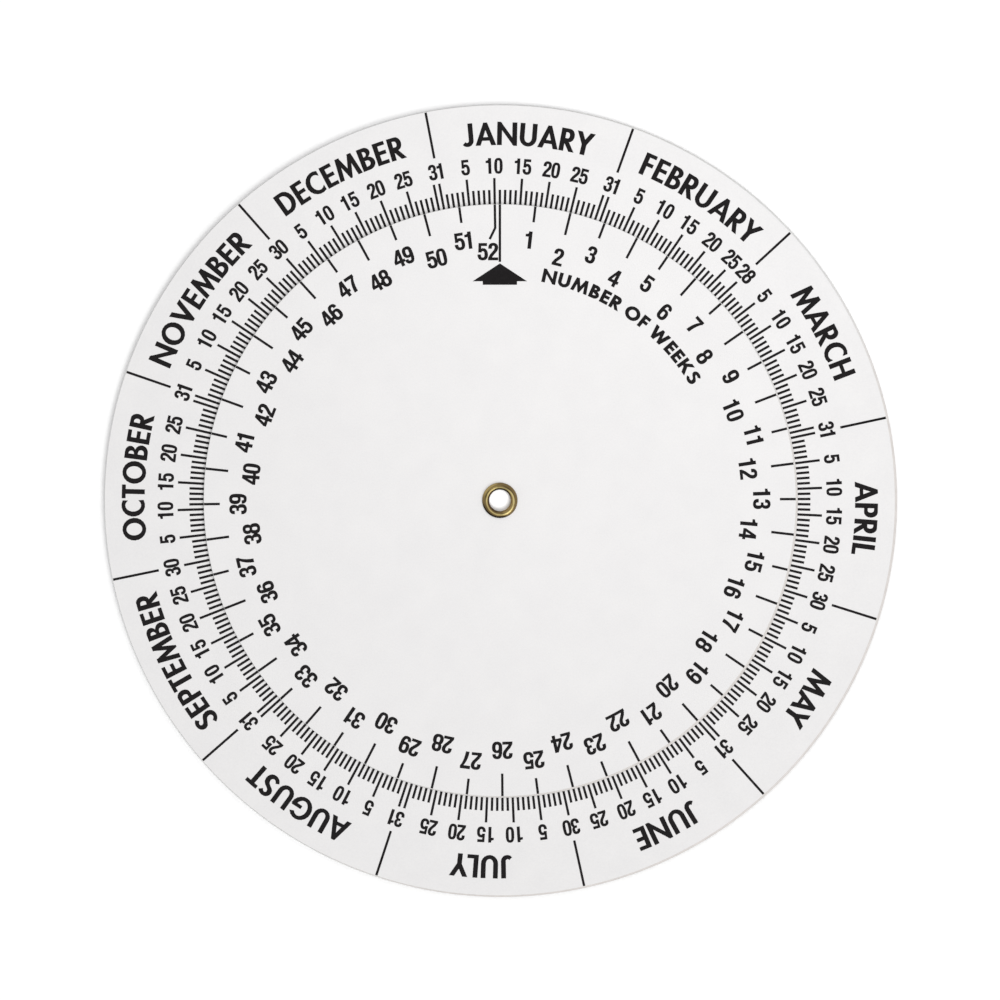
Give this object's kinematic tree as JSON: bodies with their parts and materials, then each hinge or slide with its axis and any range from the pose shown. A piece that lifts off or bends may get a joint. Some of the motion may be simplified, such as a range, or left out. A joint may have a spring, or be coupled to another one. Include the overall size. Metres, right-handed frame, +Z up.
{
  "type": "date wheel calculator",
  "caption": "Flat date wheel: a printed base disc of months and days, and a smaller dial of weeks that turns on a brass eyelet through both.",
  "frame": {"origin": "on the table, under the centre of the eyelet, with the wheel lying face up", "axes": "+Z up out of the printed face along the eyelet's hole; +Y from the centre to the index line at rest, which stands at 11 January; +X to the right as the face is read"},
  "size_m": [0.108, 0.108, 0.0018],
  "materials": {
    "board": "white board with a smooth satin coat, beige at its cut edge",
    "ink": "flat black printing ink with a slight sheen",
    "eyelet_brass": "drawn brass, aged, polished on its crest and brown in its hollows"
  },
  "bodies": {
    "base": {"base_disc": "board", "month_lines": "ink", "fifth_day_lines": "ink", "day_lines": "ink", "eyelet": "eyelet_brass"},
    "dial": {"dial_disc": "board", "week_lines": "ink", "last_week_line": "ink", "index_line": "ink", "index_arrow": "ink"}
  },
  "joints": [
    {"name": "dial_turn", "type": "hinge", "parent": "base", "child": "dial", "pos_m": [0, 0, 0], "axis": [0, 0, -1], "continuous": true}
  ]
}
